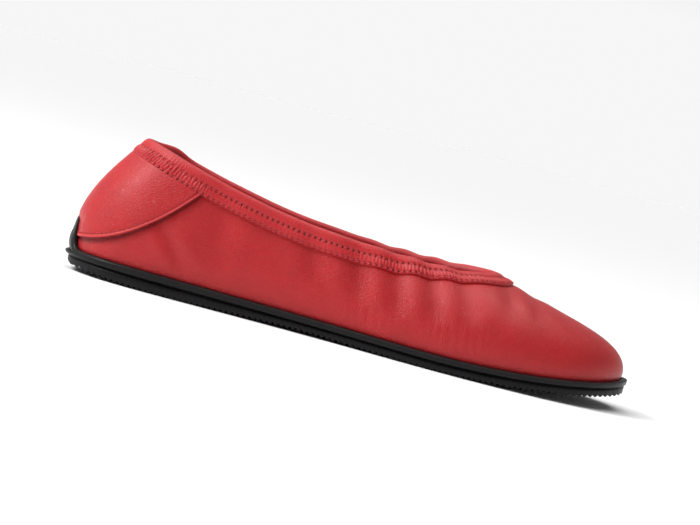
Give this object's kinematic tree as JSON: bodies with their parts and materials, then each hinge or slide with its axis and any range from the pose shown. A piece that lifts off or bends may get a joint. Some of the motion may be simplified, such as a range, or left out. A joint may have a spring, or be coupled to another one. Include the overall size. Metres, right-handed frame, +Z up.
{
  "type": "ballet flat",
  "caption": "Right-foot leather slip-on flat with a low gathered collar, a lapped heel piece and a thin toothed rubber sole, worn on the foot.",
  "frame": {"origin": "on the floor, under the middle of the shoe's bounding box", "axes": "+X towards the toe, +Y towards the inner side of the foot, +Z up"},
  "size_m": [0.2564, 0.093, 0.064],
  "materials": {
    "upper_leather": "satin red nappa",
    "binding_leather": "satin red nappa, folded and stitched",
    "tread_rubber": "moulded black rubber",
    "lip_rubber": "smooth black rubber",
    "insole_cloth": "black cloth"
  },
  "bodies": {
    "root": {"outsole": "tread_rubber", "midsole_lip": "lip_rubber", "insole": "insole_cloth", "upper": "upper_leather", "heel_piece": "upper_leather", "collar_binding": "binding_leather"}
  },
  "joints": []
}
